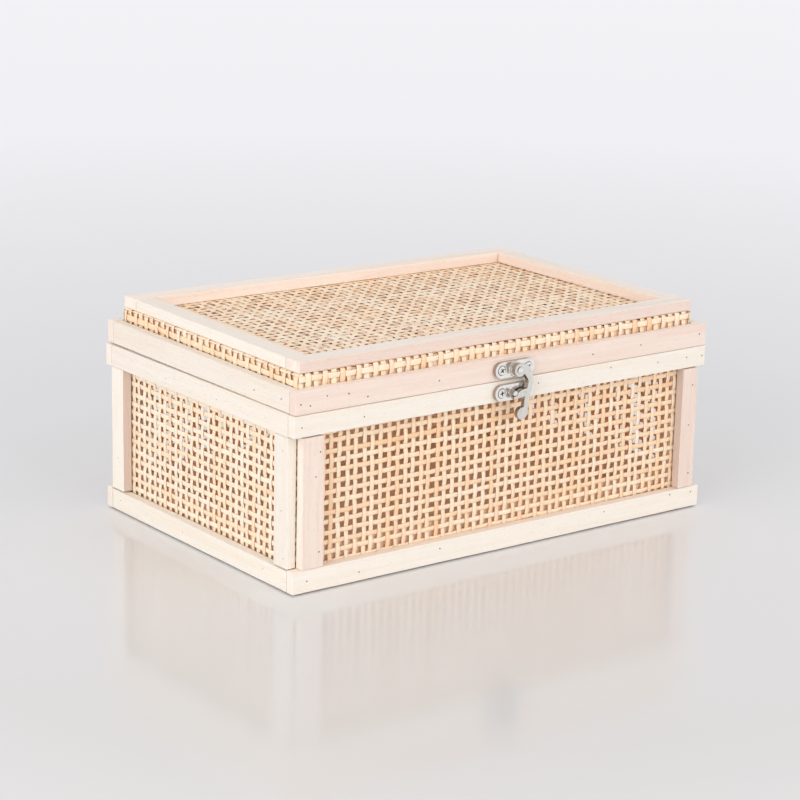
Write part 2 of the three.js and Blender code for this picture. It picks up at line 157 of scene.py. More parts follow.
# Metal
CAST_VOXEL = 0.13 * MM
CAST_SMOOTHING = 8
METAL_ROUND = 0.22 * MM
MERGE_REACH = 0.001 * MM
FLAT_ANGLE = math.radians(1)
# How the sides of the hardware are marked for painted shade and painted reflection of the wood: from which
# facing, over what, and at most how much
PAINTED_SHADE_FROM = 0.75
PAINTED_SHADE_OVER = 0.5
PAINTED_SHADE_MOST = 0.85

# Camera, solved from the photograph
CAMERA_AZIMUTH = math.radians(-37.331)
CAMERA_ELEVATION = math.radians(15.131)
CAMERA_ROLL = math.radians(1.277)
CAMERA_DISTANCE = 1415.8 * MM
CAMERA_TARGET = Vector((-5.0, 0.0, 62.04)) * MM
CAMERA_LENS = 114.27
CAMERA_SENSOR = 36

# Floor, a hair below the box. It is painted darker and warmer towards the front left as painted shade, and
# further from the box's middle it turns into the backdrop and starts to glow, in metres
FLOOR_DROP = 0.7 * MM
FLOOR_HALF_SIZE = 12.0
FLOOR_SHADE_AZIMUTH = math.radians(-37.331)
FLOOR_SHADE = (0.05, 0.45)
FLOOR_FADE = (0.35, 1.2)
FLOOR_GLOW = (0.35, 1.3)


# Node helpers


def add_socket(tree, name, direction, kind):
    return tree.interface.new_socket(name, in_out=direction, socket_type=kind)


def find_socket(sockets, name):
    if isinstance(name, int):
        return sockets[name]
    return next(socket for socket in sockets if socket.name == name and socket.enabled)


def add_node(tree, kind, feeds=None, **settings):
    """Adds a node, sets its options, and feeds its inputs with plain values or with other nodes' outputs."""
    node = tree.nodes.new(kind)
    for option, value in settings.items():
        setattr(node, option, value)
    for name, value in (feeds or {}).items():
        target = find_socket(node.inputs, name)
        if isinstance(value, bpy.types.NodeSocket):
            tree.links.new(value, target)
        else:
            target.default_value = value
    return node


def calc(tree, operation, *values):
    feeds = dict(enumerate(values))
    return add_node(tree, "ShaderNodeMath", feeds, operation=operation).outputs[0]


def combine(tree, x=0.0, y=0.0, z=0.0):
    return add_node(tree, "ShaderNodeCombineXYZ", {"X": x, "Y": y, "Z": z}).outputs[0]


def separate(tree, vector):
    return add_node(tree, "ShaderNodeSeparateXYZ", {"Vector": vector}).outputs


def stretch(tree, vector, factors):
    feeds = {0: vector, 1: factors}
    return add_node(tree, "ShaderNodeVectorMath", feeds, operation="MULTIPLY").outputs[0]


def noise(tree, vector, detail=2.0, roughness=0.5, distortion=0.0):
    feeds = {"Vector": vector, "Scale": 1.0, "Detail": detail, "Roughness": roughness}
    feeds["Distortion"] = distortion
    return find_socket(add_node(tree, "ShaderNodeTexNoise", feeds).outputs, 0)


def remap(tree, value, from_low, from_high, to_low=0.0, to_high=1.0):
    feeds = {"Value": value, "From Min": from_low, "From Max": from_high}
    feeds.update({"To Min": to_low, "To Max": to_high})
    return add_node(tree, "ShaderNodeMapRange", feeds).outputs[0]


def blend_colour(tree, share, first, second):
    feeds = {"Factor": share, "A": first, "B": second}
    node = add_node(tree, "ShaderNodeMix", feeds, data_type="RGBA")
    return find_socket(node.outputs, "Result")


def dim_colour(tree, colour, level):
    """A colour times a brightness that changes over the surface."""
    return add_node(tree, "ShaderNodeVectorMath", {0: colour, "Scale": level}, operation="SCALE").outputs[0]


def own_attribute(tree, name):
    return add_node(tree, "ShaderNodeAttribute", attribute_name=name).outputs


def colour(red, green, blue):
    return (red, green, blue, 1.0)


# Finishes


def finish_group(name, colours, values):
    """A shared finish with inputs of its own, which puts out a colour, a roughness and a height."""
    tree = bpy.data.node_groups.new(name, "ShaderNodeTree")
    for label in colours:
        add_socket(tree, label, "INPUT", "NodeSocketColor")
    for label in values:
        add_socket(tree, label, "INPUT", "NodeSocketFloat")
    add_socket(tree, "Colour", "OUTPUT", "NodeSocketColor")
    add_socket(tree, "Roughness", "OUTPUT", "NodeSocketFloat")
    add_socket(tree, "Height", "OUTPUT", "NodeSocketFloat")
    return tree


def wood_grain_group():
    """Sawn wood along a piece's own grain, in millimetres: broad bands, fine fibres and short dark flecks.
    Faces also turn rosy by their own cut and, as painted shade, rosier and darker where they lie in shadow.
    """
    tree = finish_group("wood_grain", ("Pale", "Streak", "Fleck", "Blush And Shade"), ("Streak Share", "Fleck Share"))
    given = add_node(tree, "NodeGroupInput").outputs
    grain = own_attribute(tree, "grain")["Vector"]
    tone = own_attribute(tree, "strip_tone")["Fac"]
    blush_and_shade = own_attribute(tree, "strip_blush_and_shade")["Fac"]

    bands = noise(tree, stretch(tree, grain, (0.009, 0.24, 0.24)), 4.0, 0.55, 0.5)
    fibres = noise(tree, stretch(tree, grain, (0.05, 2.6, 2.6)), 3.0, 0.6)
    flecks = noise(tree, stretch(tree, grain, (0.3, 3.6, 3.6)), 1.0)
    fleck_mask = remap(tree, flecks, 0.64, 0.74)
    streak_mask = remap(tree, bands, 0.44, 0.66)

    blush_and_shade_share = calc(tree, "MULTIPLY", blush_and_shade, remap(tree, bands, *NOISE_RANGE, 0.75, 1.15))
    rosy_and_shaded = blend_colour(tree, blush_and_shade_share, given["Pale"], given["Blush And Shade"])
    streak_share = calc(tree, "MULTIPLY", streak_mask, given["Streak Share"])
    base = blend_colour(tree, streak_share, rosy_and_shaded, given["Streak"])
    fleck_share = calc(tree, "MULTIPLY", fleck_mask, given["Fleck Share"])
    flecked = blend_colour(tree, fleck_share, base, given["Fleck"])
    fibre_level = remap(tree, fibres, *NOISE_RANGE, 0.955, 1.03)
    # Blush values above 1 darken a face as painted shade
    tone_and_shade_level = calc(tree, "MULTIPLY_ADD", tone, 0.03, remap(tree, blush_and_shade, 1.0, 2.0, 1.0, 0.65))
    shaded = dim_colour(tree, flecked, calc(tree, "MULTIPLY", fibre_level, tone_and_shade_level))

    out = add_node(tree, "NodeGroupOutput").inputs
    tree.links.new(shaded, out["Colour"])
    tree.links.new(remap(tree, fibres, *NOISE_RANGE, 0.58, 0.78), out["Roughness"])
    tree.links.new(calc(tree, "SUBTRACT", fibres, fleck_mask), out["Height"])
    return tree


def worn_metal_group():
    """Plated metal: a cloudy gloss and fine scratches from handling. Where a piece is marked, it turns a dull
    warm brown: painted shade in screw recesses, and painted shade and painted reflection of the wood on the
    sides of flat pieces.
    """
    tree = finish_group("worn_metal", ("Bright", "Dull", "Painted Shade"), ("Gloss Low", "Gloss High"))
    given = add_node(tree, "NodeGroupInput").outputs
    place = add_node(tree, "ShaderNodeTexCoord").outputs["Object"]
    clouds = noise(tree, stretch(tree, place, (420.0, 420.0, 420.0)), 3.0, 0.6)
    scratches = noise(tree, stretch(tree, place, (900.0, 900.0, 6500.0)), 2.0, 0.6)

    out = add_node(tree, "NodeGroupOutput").inputs
    dulled = blend_colour(tree, remap(tree, clouds, 0.4, 0.75), given["Bright"], given["Dull"])
    painted_shade = own_attribute(tree, "painted_shade")["Fac"]
    tree.links.new(blend_colour(tree, painted_shade, dulled, given["Painted Shade"]), out["Colour"])
    gloss = remap(tree, clouds, *NOISE_RANGE, given["Gloss Low"], given["Gloss High"])
    tree.links.new(gloss, out["Roughness"])
    tree.links.new(scratches, out["Height"])
    return tree


def new_material(name):
    material = bpy.data.materials.new(name)
    material.use_nodes = True
    return material, material.node_tree, material.node_tree.nodes["Principled BSDF"]


def add_bump(tree, shader, height, strength, distance):
    feeds = {"Height": height, "Strength": strength, "Distance": distance}
    bump = add_node(tree, "ShaderNodeBump", feeds)
    tree.links.new(bump.outputs["Normal"], shader.inputs["Normal"])


def wear_group(tree, shader, group, feeds, bump_strength, bump_distance):
    """Places a shared finish in a material, with the material's own values."""
    node = add_node(tree, "ShaderNodeGroup", node_tree=group)
    for name, value in feeds.items():
        node.inputs[name].default_value = value
    tree.links.new(node.outputs["Colour"], shader.inputs["Base Color"])
    tree.links.new(node.outputs["Roughness"], shader.inputs["Roughness"])
    add_bump(tree, shader, node.outputs["Height"], bump_strength, bump_distance)


def wood_material(name, group, pale, streak, fleck, streak_share, fleck_share):
    material, tree, shader = new_material(name)
    feeds = {"Pale": colour(*pale), "Streak": colour(*streak), "Fleck": colour(*fleck)}
    feeds["Blush And Shade"] = colour(*BLUSH_AND_SHADE_COLOUR)
    feeds.update({"Streak Share": streak_share, "Fleck Share": fleck_share})
    wear_group(tree, shader, group, feeds, *WOOD_BUMP)
    shader.inputs["Specular IOR Level"].default_value = 0.3
    return material


def metal_material(name, group, bright, dull, gloss_low, gloss_high):
    material, tree, shader = new_material(name)
    # Marked parts turn this warm brown, as painted shade and painted reflection of the wood
    feeds = {"Bright": colour(*bright), "Dull": colour(*dull), "Painted Shade": colour(0.40, 0.31, 0.24)}
    feeds.update({"Gloss Low": gloss_low, "Gloss High": gloss_high})
    wear_group(tree, shader, group, feeds, *METAL_BUMP)
    shader.inputs["Metallic"].default_value = 1.0
    return material


def cane_material():
    """Split cane: each strand has its own tone, fibres along it and a satin skin. Its edges are dark
    red-brown as painted shade for the crevices where strands cross, and its back is orange as painted warm
    light from inside the box.
    """
    material, tree, shader = new_material("split_cane")
    along = own_attribute(tree, "strand_along")["Fac"]
    across = own_attribute(tree, "strand_across")["Fac"]
    tone = own_attribute(tree, "strand_tone")["Fac"]
    back = own_attribute(tree, "strand_back")["Fac"]
    lane = calc(tree, "MULTIPLY", tone, TONE_STEP)
    patches = noise(tree, combine(tree, calc(tree, "MULTIPLY", along, 0.03), lane), 2.0)
    fibres = noise(tree, combine(tree, calc(tree, "MULTIPLY", along, 0.22), lane,
                                 calc(tree, "MULTIPLY", across, 4.5)), 3.0, 0.6)
    ripeness = calc(tree, "ADD", tone, remap(tree, patches, *NOISE_RANGE, -0.17, 0.17))

    ramp = add_node(tree, "ShaderNodeValToRGB", {"Fac": ripeness})
    stops = ramp.color_ramp.elements
    stops[0].position = 0.0
    stops[0].color = colour(0.99, 0.86, 0.68)
    stops[1].position = 1.0
    stops[1].color = colour(0.80, 0.46, 0.22)
    shades = {0.24: (0.99, 0.79, 0.565), 0.5: (0.985, 0.715, 0.47), 0.78: (0.94, 0.61, 0.35)}
    for place, shade in shades.items():
        stop = stops.new(place)
        stop.color = colour(*shade)

    # Dark red-brown edges: painted shade for the crevices where strands cross
    edge = remap(tree, calc(tree, "ABSOLUTE", across), 0.87, 1.0)
    edge_shaded = blend_colour(tree, calc(tree, "MULTIPLY", edge, 0.7), ramp.outputs["Color"],
                            colour(0.60, 0.24, 0.09))
    # The back is tinted orange as painted warm light, for the light that shines through the cane and bounces
    # inside the box
    shaded_edges_and_lit_back = blend_colour(tree, calc(tree, "MULTIPLY", back, 0.8), edge_shaded, colour(0.99, 0.56, 0.31))
    shaded = dim_colour(tree, shaded_edges_and_lit_back, remap(tree, fibres, *NOISE_RANGE, 0.95, 1.03))
    tree.links.new(shaded, shader.inputs["Base Color"])
    tree.links.new(remap(tree, fibres, *NOISE_RANGE, 0.32, 0.48), shader.inputs["Roughness"])
    add_bump(tree, shader, fibres, *CANE_BUMP)
    shader.inputs["Specular IOR Level"].default_value = 0.5
    return material


def make_finishes():
    grain = wood_grain_group()
    metal = worn_metal_group()
    return {
        "pale_wood": wood_material("pale_wood_sawn", grain, (0.92, 0.85, 0.755), (0.88, 0.75, 0.58),
                                   (0.62, 0.44, 0.30), 0.36, 0.35),
        "rosy_wood": wood_material("rosy_wood_sawn", grain, (0.92, 0.84, 0.745), (0.85, 0.66, 0.55),
                                   (0.60, 0.38, 0.30), 0.5, 0.35),
        # The inner and backing woods are a deeper orange than the outer strips, as painted warm light that
        # stands in for light shining through the cane and bouncing inside the box
        "inner_wood": wood_material("inner_wood_sawn", grain, (0.99, 0.74, 0.55), (0.96, 0.65, 0.45),
                                    (0.50, 0.33, 0.20), 0.5, 0.35),
        "backing_wood": wood_material("backing_wood_sawn", grain, (0.99, 0.76, 0.57), (0.97, 0.64, 0.43),
                                      (0.50, 0.33, 0.20), 0.5, 0.35),
        "cane": cane_material(),
        "nickel": metal_material("bright_nickel", metal, (0.88, 0.87, 0.84), (0.80, 0.78, 0.74), 0.12, 0.22),
        "arm_nickel": metal_material("satin_nickel", metal, (0.76, 0.75, 0.70), (0.68, 0.66, 0.61), 0.2, 0.3),
        "brad_steel": metal_material("brad_steel", metal, (0.32, 0.22, 0.18), (0.17, 0.11, 0.09), 0.45, 0.7),
    }


# Mesh helpers


def read_vectors(mesh, kind="co"):
    """The places of a mesh's points, or their normals."""
    vectors = np.empty(len(mesh.vertices) * 3)
    mesh.vertices.foreach_get(kind, vectors)
    return vectors.reshape(-1, 3)


def write_places(mesh, places):
    mesh.vertices.foreach_set("co", places.ravel())
    mesh.update()


def set_attribute(mesh, name, values, kind="FLOAT", domain="POINT"):
    layer = mesh.attributes.new(name, kind, domain)
    layer.data.foreach_set("vector" if kind == "FLOAT_VECTOR" else "value", values)


def shade_by_area(mesh):
    """Smooth shading in which large flat faces stay flat and the narrow rounded edges turn between them."""
    normals = np.zeros((len(mesh.vertices), 3))
    for face in mesh.polygons:
        pull = np.array(face.normal) * face.area
        for corner in face.vertices:
            normals[corner] += pull
    lengths = np.linalg.norm(normals, axis=1, keepdims=True)
    normals /= np.maximum(lengths, 1e-20)
    mesh.polygons.foreach_set("use_smooth", [True] * len(mesh.polygons))
    mesh.normals_split_custom_set_from_vertices(normals)


def to_mesh(bm, name):
    mesh = bpy.data.meshes.new(name)
    bm.to_mesh(mesh)
    bm.free()
    return mesh


def show_piece(name, mesh, material, body, stands_for=()):
    """Puts a finished mesh in the scene, on its body."""
    piece = bpy.data.objects.new(name, mesh)
    bpy.context.scene.collection.objects.link(piece)
    if material:
        mesh.materials.clear()
        mesh.materials.append(material)
    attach(piece, body)
    if stands_for:
        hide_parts(*stands_for)


def end_tree(tree, geometry, material):
    """Ends a Geometry Nodes tree with a plain mesh in one material."""
    real = add_node(tree, "GeometryNodeRealizeInstances", {"Geometry": geometry})
    feeds = {"Geometry": real.outputs[0], "Material": material}
    painted = add_node(tree, "GeometryNodeSetMaterial", feeds)
    tree.links.new(painted.outputs[0], add_node(tree, "NodeGroupOutput").inputs[0])


def grow(tree, name, base_mesh, values):
    """Runs a Geometry Nodes tree on a mesh, with its named inputs, and returns the result as a plain mesh."""
    grower = bpy.data.objects.new(name, base_mesh)
    bpy.context.scene.collection.objects.link(grower)
    modifier = grower.modifiers.new("grow", "NODES")
    modifier.node_group = tree
    sockets = {item.name: item.identifier for item in tree.interface.items_tree if item.in_out == "INPUT"}
    for label, value in values.items():
        modifier[sockets[label]] = value
    depsgraph = bpy.context.evaluated_depsgraph_get()
    mesh = bpy.data.meshes.new_from_object(grower.evaluated_get(depsgraph))
    grower.modifiers.remove(modifier)
    bpy.data.objects.remove(grower)
    mesh.name = name
    return mesh


# Wooden strips


def sawn_strip(name, low, high, blush_and_shade, tone):
    """A strip between two corners, its faces a little uneven from the saw and its edges sanded round."""
    dice = random.Random(name)
    size = high - low
    along = max(range(3), key=lambda axis: size[axis])
    first, second = [axis for axis in range(3) if axis != along]
    sections = max(2, round(size[along] / SAW_SECTION))
    bm = bmesh.new()
    rings = []
    for step in range(sections + 1):
        ring = []
        for far_first, far_second in ((0, 0), (1, 0), (1, 1), (0, 1)):
            place = Vector()
            place[along] = low[along] + size[along] * step / sections
            for axis, is_far in ((first, far_first), (second, far_second)):
                wander = dice.uniform(0, SAW_WANDER)
                place[axis] = high[axis] - wander if is_far else low[axis] + wander
            ring.append(bm.verts.new(place))
        rings.append(ring)
    for near, far in zip(rings, rings[1:]):
        for corner in range(4):
            after = (corner + 1) % 4
            bm.faces.new((near[corner], near[after], far[after], far[corner]))
    bm.faces.new(rings[0])
    bm.faces.new(rings[-1])
    bmesh.ops.recalc_face_normals(bm, faces=bm.faces)
    sharp = [edge for edge in bm.edges if edge.calc_face_angle() > SHARP_ANGLE]
    bmesh.ops.bevel(bm, geom=sharp, offset=EDGE_ROUND, segments=EDGE_STEPS, profile=0.5, affect="EDGES")
    mesh = to_mesh(bm, name)
    shade_by_area(mesh)

    grain_places = read_vectors(mesh)[:, [along, first, second]] / MM
    grain_places += [dice.uniform(0, GRAIN_SPREAD) for _ in range(3)]
    set_attribute(mesh, "grain", grain_places.astype(np.float32).ravel(), "FLOAT_VECTOR")
    tone = dice.uniform(-1, 1) if tone is None else tone
    set_attribute(mesh, "strip_tone", np.full(len(mesh.vertices), tone, np.float32))
    # Each face takes its strip's rosiness, which for faces in shadow is partly painted shade
    facing = [max(range(3), key=lambda axis: abs(face.normal[axis])) for face in mesh.polygons]
    end_blush = [END_GRAIN_BLUSH * (axis == along) for axis in range(3)]
    rosiness_and_shade = [max(blush_and_shade[axis], end_blush[axis]) for axis in facing]
    set_attribute(mesh, "strip_blush_and_shade", rosiness_and_shade, domain="FACE")
    return mesh


def settle_lid(mesh):
    """Moves a lid piece a little to the right, and lifts what lies near the rear left corner."""
    low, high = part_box("lid_rail_left")
    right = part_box("lid_rail_right")[1].x
    places = read_vectors(mesh)
    leftward = np.clip((right - places[:, 0]) / (right - low.x), 0, 1)
    rearward = np.clip((places[:, 1] - low.y) / (high.y - low.y), 0, 1)
    places[:, 2] += leftward * rearward * (LID_CORNER_LIFT + LID_CORNER_STRETCH * (places[:, 2] - low.z))
    places[:, 0] += LID_SHIFT
    write_places(mesh, places)


def add_strips(finishes):
    for node, slot in node_slots.items():
        if slot in ("pale_wood", "rosy_wood", "inner_wood"):
            trims = STRIP_TRIM.get(node, ((0, 0, 0), (0, 0, 0)))
            low, high = [corner + Vector(trim) * MM for corner, trim in zip(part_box(node), trims)]
            family, side = node.rsplit("_", 1)
            if family in BACKING_GAPS:
                across = 1 if side in ("front", "rear") else 0
                if side in ("front", "left"):
                    low[across] += BACKING_GAPS[family]
                else:
                    high[across] -= BACKING_GAPS[family]
            if node.endswith(BUTTED_ENDS):
                low.y += JOINT_GAP
                high.y -= JOINT_GAP
            blush_and_shade = STRIP_BLUSH_AND_SHADE.get(node, (0, 0, 0))
            mesh = sawn_strip(f"{node}_wood", low, high, blush_and_shade, STRIP_TONE.get(node))
            if node_bodies[node] == "lid":
                settle_lid(mesh)
            finish = "backing_wood" if family in BACKING_GAPS else slot
            show_piece(f"{node}_wood", mesh, finishes[finish], node_bodies[node], [node])


# Woven cane


def store(tree, geometry, name, value, domain="POINT"):
    feeds = {"Geometry": geometry, "Name": name, "Value": value}
    node = add_node(tree, "GeometryNodeStoreNamedAttribute", feeds, data_type="FLOAT", domain=domain)
    return node.outputs[0]


def strand_profile(tree, sizes, width):
    """A flat ribbon's cross-section with round edges. Its points carry how far across the strand they lie."""
    ring = add_node(tree, "GeometryNodeCurvePrimitiveCircle", {"Resolution": sizes["Profile Points"]})
    place = separate(tree, add_node(tree, "GeometryNodeInputPosition").outputs[0])
    squared = []
    for axis in ("X", "Y"):
        sign = calc(tree, "SIGN", place[axis])
        spread = calc(tree, "POWER", calc(tree, "ABSOLUTE", place[axis]), PROFILE_POWER)
        squared.append(calc(tree, "MULTIPLY", sign, spread))
    marked = store(tree, ring.outputs["Curve"], "strand_across", squared[0])
    half_width = calc(tree, "MULTIPLY", width, 0.5)
    half_thickness = calc(tree, "MULTIPLY", sizes["Strand Thickness"], 0.5)
    ribbon = combine(tree, calc(tree, "MULTIPLY", squared[0], half_width),
                     calc(tree, "MULTIPLY", squared[1], half_thickness))
    feeds = {"Geometry": marked, "Position": ribbon}
    return add_node(tree, "GeometryNodeSetPosition", feeds).outputs[0]


def strands(tree, sizes, profile, upright):
    """One family of parallel strands, each going over and under the strands that cross it."""
    run = sizes["Height"] if upright else sizes["Length"]
    count = sizes["Upright Strands"] if upright else sizes["Level Strands"]
    crossed = sizes["Level Strands"] if upright else sizes["Upright Strands"]
    seed = calc(tree, "ADD", sizes["Seed"], 0.0 if upright else LEVEL_SEED_STEP)
    half = calc(tree, "MULTIPLY", run, 0.5)
    start = calc(tree, "MULTIPLY", run, -0.5)
    ends = {"Start": combine(tree, y=start) if upright else combine(tree, x=start),
            "End": combine(tree, y=half) if upright else combine(tree, x=half)}
    line = add_node(tree, "GeometryNodeCurvePrimitiveLine", ends)
    pitches = calc(tree, "DIVIDE", run, sizes["Pitch"])
    steps = calc(tree, "MULTIPLY", pitches, sizes["Steps"])
    fine = add_node(tree, "GeometryNodeResampleCurve", {"Curve": line.outputs[0], "Count": steps})
    copies = add_node(tree, "GeometryNodeDuplicateElements",
                      {"Geometry": fine.outputs[0], "Amount": count}, domain="SPLINE")
    index = copies.outputs["Duplicate Index"]

    def chance(low, high, extra):
        feeds = {"Min": low, "Max": high, "ID": index, "Seed": calc(tree, "ADD", seed, extra)}
        drawn = add_node(tree, "FunctionNodeRandomValue", feeds, data_type="FLOAT")
        return find_socket(drawn.outputs, "Value")

    place = separate(tree, add_node(tree, "GeometryNodeInputPosition").outputs[0])
    along = place["Y"] if upright else place["X"]

    def drift(waves_per_metre, extra):
        lane = calc(tree, "MULTIPLY", index, LANE_STEP)
        spot = combine(tree, calc(tree, "MULTIPLY", along, waves_per_metre), lane,
                       calc(tree, "ADD", seed, extra))
        return remap(tree, noise(tree, spot, 1.0), 0.25, 0.75, -1.0, 1.0)

    own_pitch, crossed_pitch = sizes["Pitch"], sizes["Level Pitch"]
    own_shift, crossed_shift = sizes["Side Shift"], sizes["Up Shift"]
    own_lean, crossed_lean = sizes["Lean"], sizes["Level Lean"]
    if not upright:
        own_pitch, crossed_pitch = crossed_pitch, own_pitch
        own_shift, crossed_shift = crossed_shift, own_shift
        own_lean, crossed_lean = crossed_lean, own_lean
    middle = calc(tree, "MULTIPLY", calc(tree, "SUBTRACT", count, 1.0), 0.5)
    rank = calc(tree, "SUBTRACT", index, middle)
    lane_place = calc(tree, "MULTIPLY_ADD", rank, own_pitch, own_shift)
    crossed_shift = calc(tree, "MULTIPLY_ADD", lane_place, crossed_lean, crossed_shift)
    lane_place = calc(tree, "MULTIPLY_ADD", along, own_lean, lane_place)
    spread = calc(tree, "MULTIPLY", chance(-1.0, 1.0, 1.0), sizes["Spread"])
    wander = calc(tree, "MULTIPLY_ADD", drift(24.0, 0.5), sizes["Wander"], spread)
    wobble = calc(tree, "MULTIPLY_ADD", drift(95.0, 15.5), sizes["Wobble"], wander)
    across = calc(tree, "ADD", lane_place, wobble)

    crossed_middle = calc(tree, "MULTIPLY", calc(tree, "SUBTRACT", crossed, 1.0), 0.5)
    past = calc(tree, "SUBTRACT", along, crossed_shift)
    beats = calc(tree, "ADD", calc(tree, "DIVIDE", past, crossed_pitch), crossed_middle)
    phase = calc(tree, "MULTIPLY", calc(tree, "ADD", beats, index), math.pi)
    swing = calc(tree, "MULTIPLY", calc(tree, "COSINE", phase), sizes["Flatness"])
    levelled = calc(tree, "MINIMUM", calc(tree, "MAXIMUM", swing, -1.0), 1.0)
    lift = calc(tree, "MULTIPLY", levelled, sizes["Wave"])
    lift = lift if upright else calc(tree, "MULTIPLY", lift, -1.0)
    woven_place = combine(tree, across, along, lift) if upright else combine(tree, along, across, lift)

    along_mm = calc(tree, "MULTIPLY_ADD", index, GRAIN_STEP, calc(tree, "DIVIDE", along, MM))
    marked = store(tree, copies.outputs[0], "strand_along", along_mm)
    # Each sheet shifts its strands' ripeness; for the end walls the shift is painted light
    ripeness = calc(tree, "ADD", calc(tree, "POWER", chance(0.15, 0.66, 2.0), 1.7), sizes["Ripeness Shift And Painted Light"])
    toned = store(tree, marked, "strand_tone", ripeness, "CURVE")
    own_width = chance(0.87, 1.1, 3.0)
    width = calc(tree, "MULTIPLY", own_width, remap(tree, drift(40.0, 7.5), -1.0, 1.0, 0.92, 1.08))
    sized = add_node(tree, "GeometryNodeSetCurveRadius", {"Curve": toned, "Radius": width})
    twist = calc(tree, "MULTIPLY", drift(60.0, 11.5), sizes["Twist"])
    twisted = add_node(tree, "GeometryNodeSetCurveTilt", {"Curve": sized.outputs[0], "Tilt": twist})
    woven = add_node(tree, "GeometryNodeSetPosition",
                     {"Geometry": twisted.outputs[0], "Position": woven_place})

    spot = separate(tree, add_node(tree, "GeometryNodeInputPosition").outputs[0])
    past_length = calc(tree, "GREATER_THAN", calc(tree, "ABSOLUTE", spot["X"]), sizes["Corner Length"])
    past_height = calc(tree, "GREATER_THAN", calc(tree, "ABSOLUTE", spot["Y"]), sizes["Corner Height"])
    in_corner = calc(tree, "MULTIPLY", past_length, past_height)
    kept = add_node(tree, "GeometryNodeDeleteGeometry",
                    {"Geometry": woven.outputs[0], "Selection": in_corner}, domain="POINT")
    level = add_node(tree, "GeometryNodeSetCurveNormal", {"Curve": kept.outputs[0]}, mode="Z_UP")
    feeds = {"Curve": level.outputs[0], "Profile Curve": profile, "Fill Caps": True}
    return add_node(tree, "GeometryNodeCurveToMesh", feeds).outputs[0]


def weave_tree():
    """A flat sheet of plain woven cane about the origin, facing +Z, with its four corners left out."""
    tree = bpy.data.node_groups.new("woven_cane", "GeometryNodeTree")
    for name in ("Length", "Height", "Pitch", "Level Pitch", "Side Shift", "Up Shift", "Lean", "Level Lean",
                 "Ripeness Shift And Painted Light", "Strand Width", "Level Width", "Strand Thickness", "Wave", "Flatness",
                 "Wander", "Wobble", "Spread", "Twist", "Corner Length", "Corner Height"):
        add_socket(tree, name, "INPUT", "NodeSocketFloat")
    for name in ("Upright Strands", "Level Strands", "Steps", "Profile Points", "Seed"):
        add_socket(tree, name, "INPUT", "NodeSocketInt")
    add_socket(tree, "Material", "INPUT", "NodeSocketMaterial")
    add_socket(tree, "Geometry", "OUTPUT", "NodeSocketGeometry")
    sizes = add_node(tree, "NodeGroupInput").outputs
    both = add_node(tree, "GeometryNodeJoinGeometry")
    for upright in (True, False):
        profile = strand_profile(tree, sizes, sizes["Strand Width" if upright else "Level Width"])
        tree.links.new(strands(tree, sizes, profile, upright), both.inputs[0])
    smooth = add_node(tree, "GeometryNodeSetShadeSmooth", {"Geometry": both.outputs[0]})
    end_tree(tree, smooth.outputs[0], sizes["Material"])
    return tree


def woven_sheet(tree, name, length, height, layout, material, seed, points, corner=None):
    """A flat sheet, whose strands carry which of their points lie on the back."""
    corner_length, corner_height = corner or (length, height)
    values = {
        "Length": length, "Height": height, **layout,
        "Flatness": STRAND_FLATNESS, "Wander": STRAND_WANDER, "Wobble": STRAND_WOBBLE,
        "Spread": STRAND_SPREAD, "Twist": STRAND_TWIST,
        "Corner Length": corner_length, "Corner Height": corner_height,
        "Steps": STRAND_STEPS, "Profile Points": points, "Seed": seed, "Material": material,
    }
    mesh = grow(tree, name, bpy.data.meshes.new(name), values)
    facing = read_vectors(mesh, "normal")[:, 2]
    set_attribute(mesh, "strand_back", np.clip(-facing, 0, 1).astype(np.float32))
    return mesh


def facing_out(outward):
    """Turns a flat sheet that faces +Z so that it stands upright and faces outward."""
    upward = Vector((0, 0, 1))
    level = upward.cross(outward)
    return Matrix((level, upward, outward)).transposed().to_4x4()


def add_cane_walls(tree, finishes):
    walls = {
        "front": (Vector((0, -1, 0)), LONG_WALL, 11),
        "rear": (Vector((0, 1, 0)), LONG_WALL, 12),
        "left": (Vector((-1, 0, 0)), END_WALL, 13),
        "right": (Vector((1, 0, 0)), END_WALL, 14),
    }
    for side, (outward, layout, seed) in walls.items():
        node = f"cane_{side}"
        low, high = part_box(node)
        size = high - low
        name = f"{node}_weave"
        mesh = woven_sheet(tree, name, max(size.x, size.y), size.z, layout, finishes["cane"], seed,
                           WALL_PROFILE_POINTS)
        mesh.transform(Matrix.Translation((low + high) / 2) @ facing_out(outward))
        show_piece(name, mesh, None, "box", [node])


def fold_over(mesh, half_length, half_width):
    """Bends what lies beyond the lid's edges down over them, where the strands swell a little."""
    places = read_vectors(mesh)
    for axis, half in ((0, half_length), (1, half_width)):
        reach = np.abs(places[:, axis])
        beyond = reach - (half - FOLD_RADIUS)
        turn = np.clip(beyond / FOLD_RADIUS, 0, math.pi / 2)
        drop = np.maximum(beyond - FOLD_RADIUS * math.pi / 2, 0)
        arm = FOLD_RADIUS + places[:, 2] * (1 + FLAP_SWELL * turn)
        flat = np.minimum(reach, half - FOLD_RADIUS)
        places[:, axis] = np.sign(places[:, axis]) * (flat + arm * np.sin(turn))
        places[:, 2] = arm * np.cos(turn) - FOLD_RADIUS - drop
    write_places(mesh, places)


def add_lid_cane(tree, finishes):
    low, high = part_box("lid_cane")
    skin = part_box("cane_front")
    half_sheet = (skin[1].y - skin[0].y) / 2
    half_length = high.x - half_sheet
    half_width = high.y - half_sheet
    name = "lid_cane_weave"
    mesh = woven_sheet(tree, name, 2 * (half_length + FLAP_LENGTH), 2 * (half_width + FLAP_LENGTH),
                       LID_SHEET, finishes["cane"], LID_SEED, LID_PROFILE_POINTS,
                       (half_length + CORNER_CLEAR, half_width + CORNER_CLEAR))
    fold_over(mesh, half_length, half_width)
    mesh.transform(Matrix.Translation((0, 0, high.z - half_sheet)))
    settle_lid(mesh)
    show_piece(name, mesh, None, "lid", ["lid_cane"])


# Fasteners


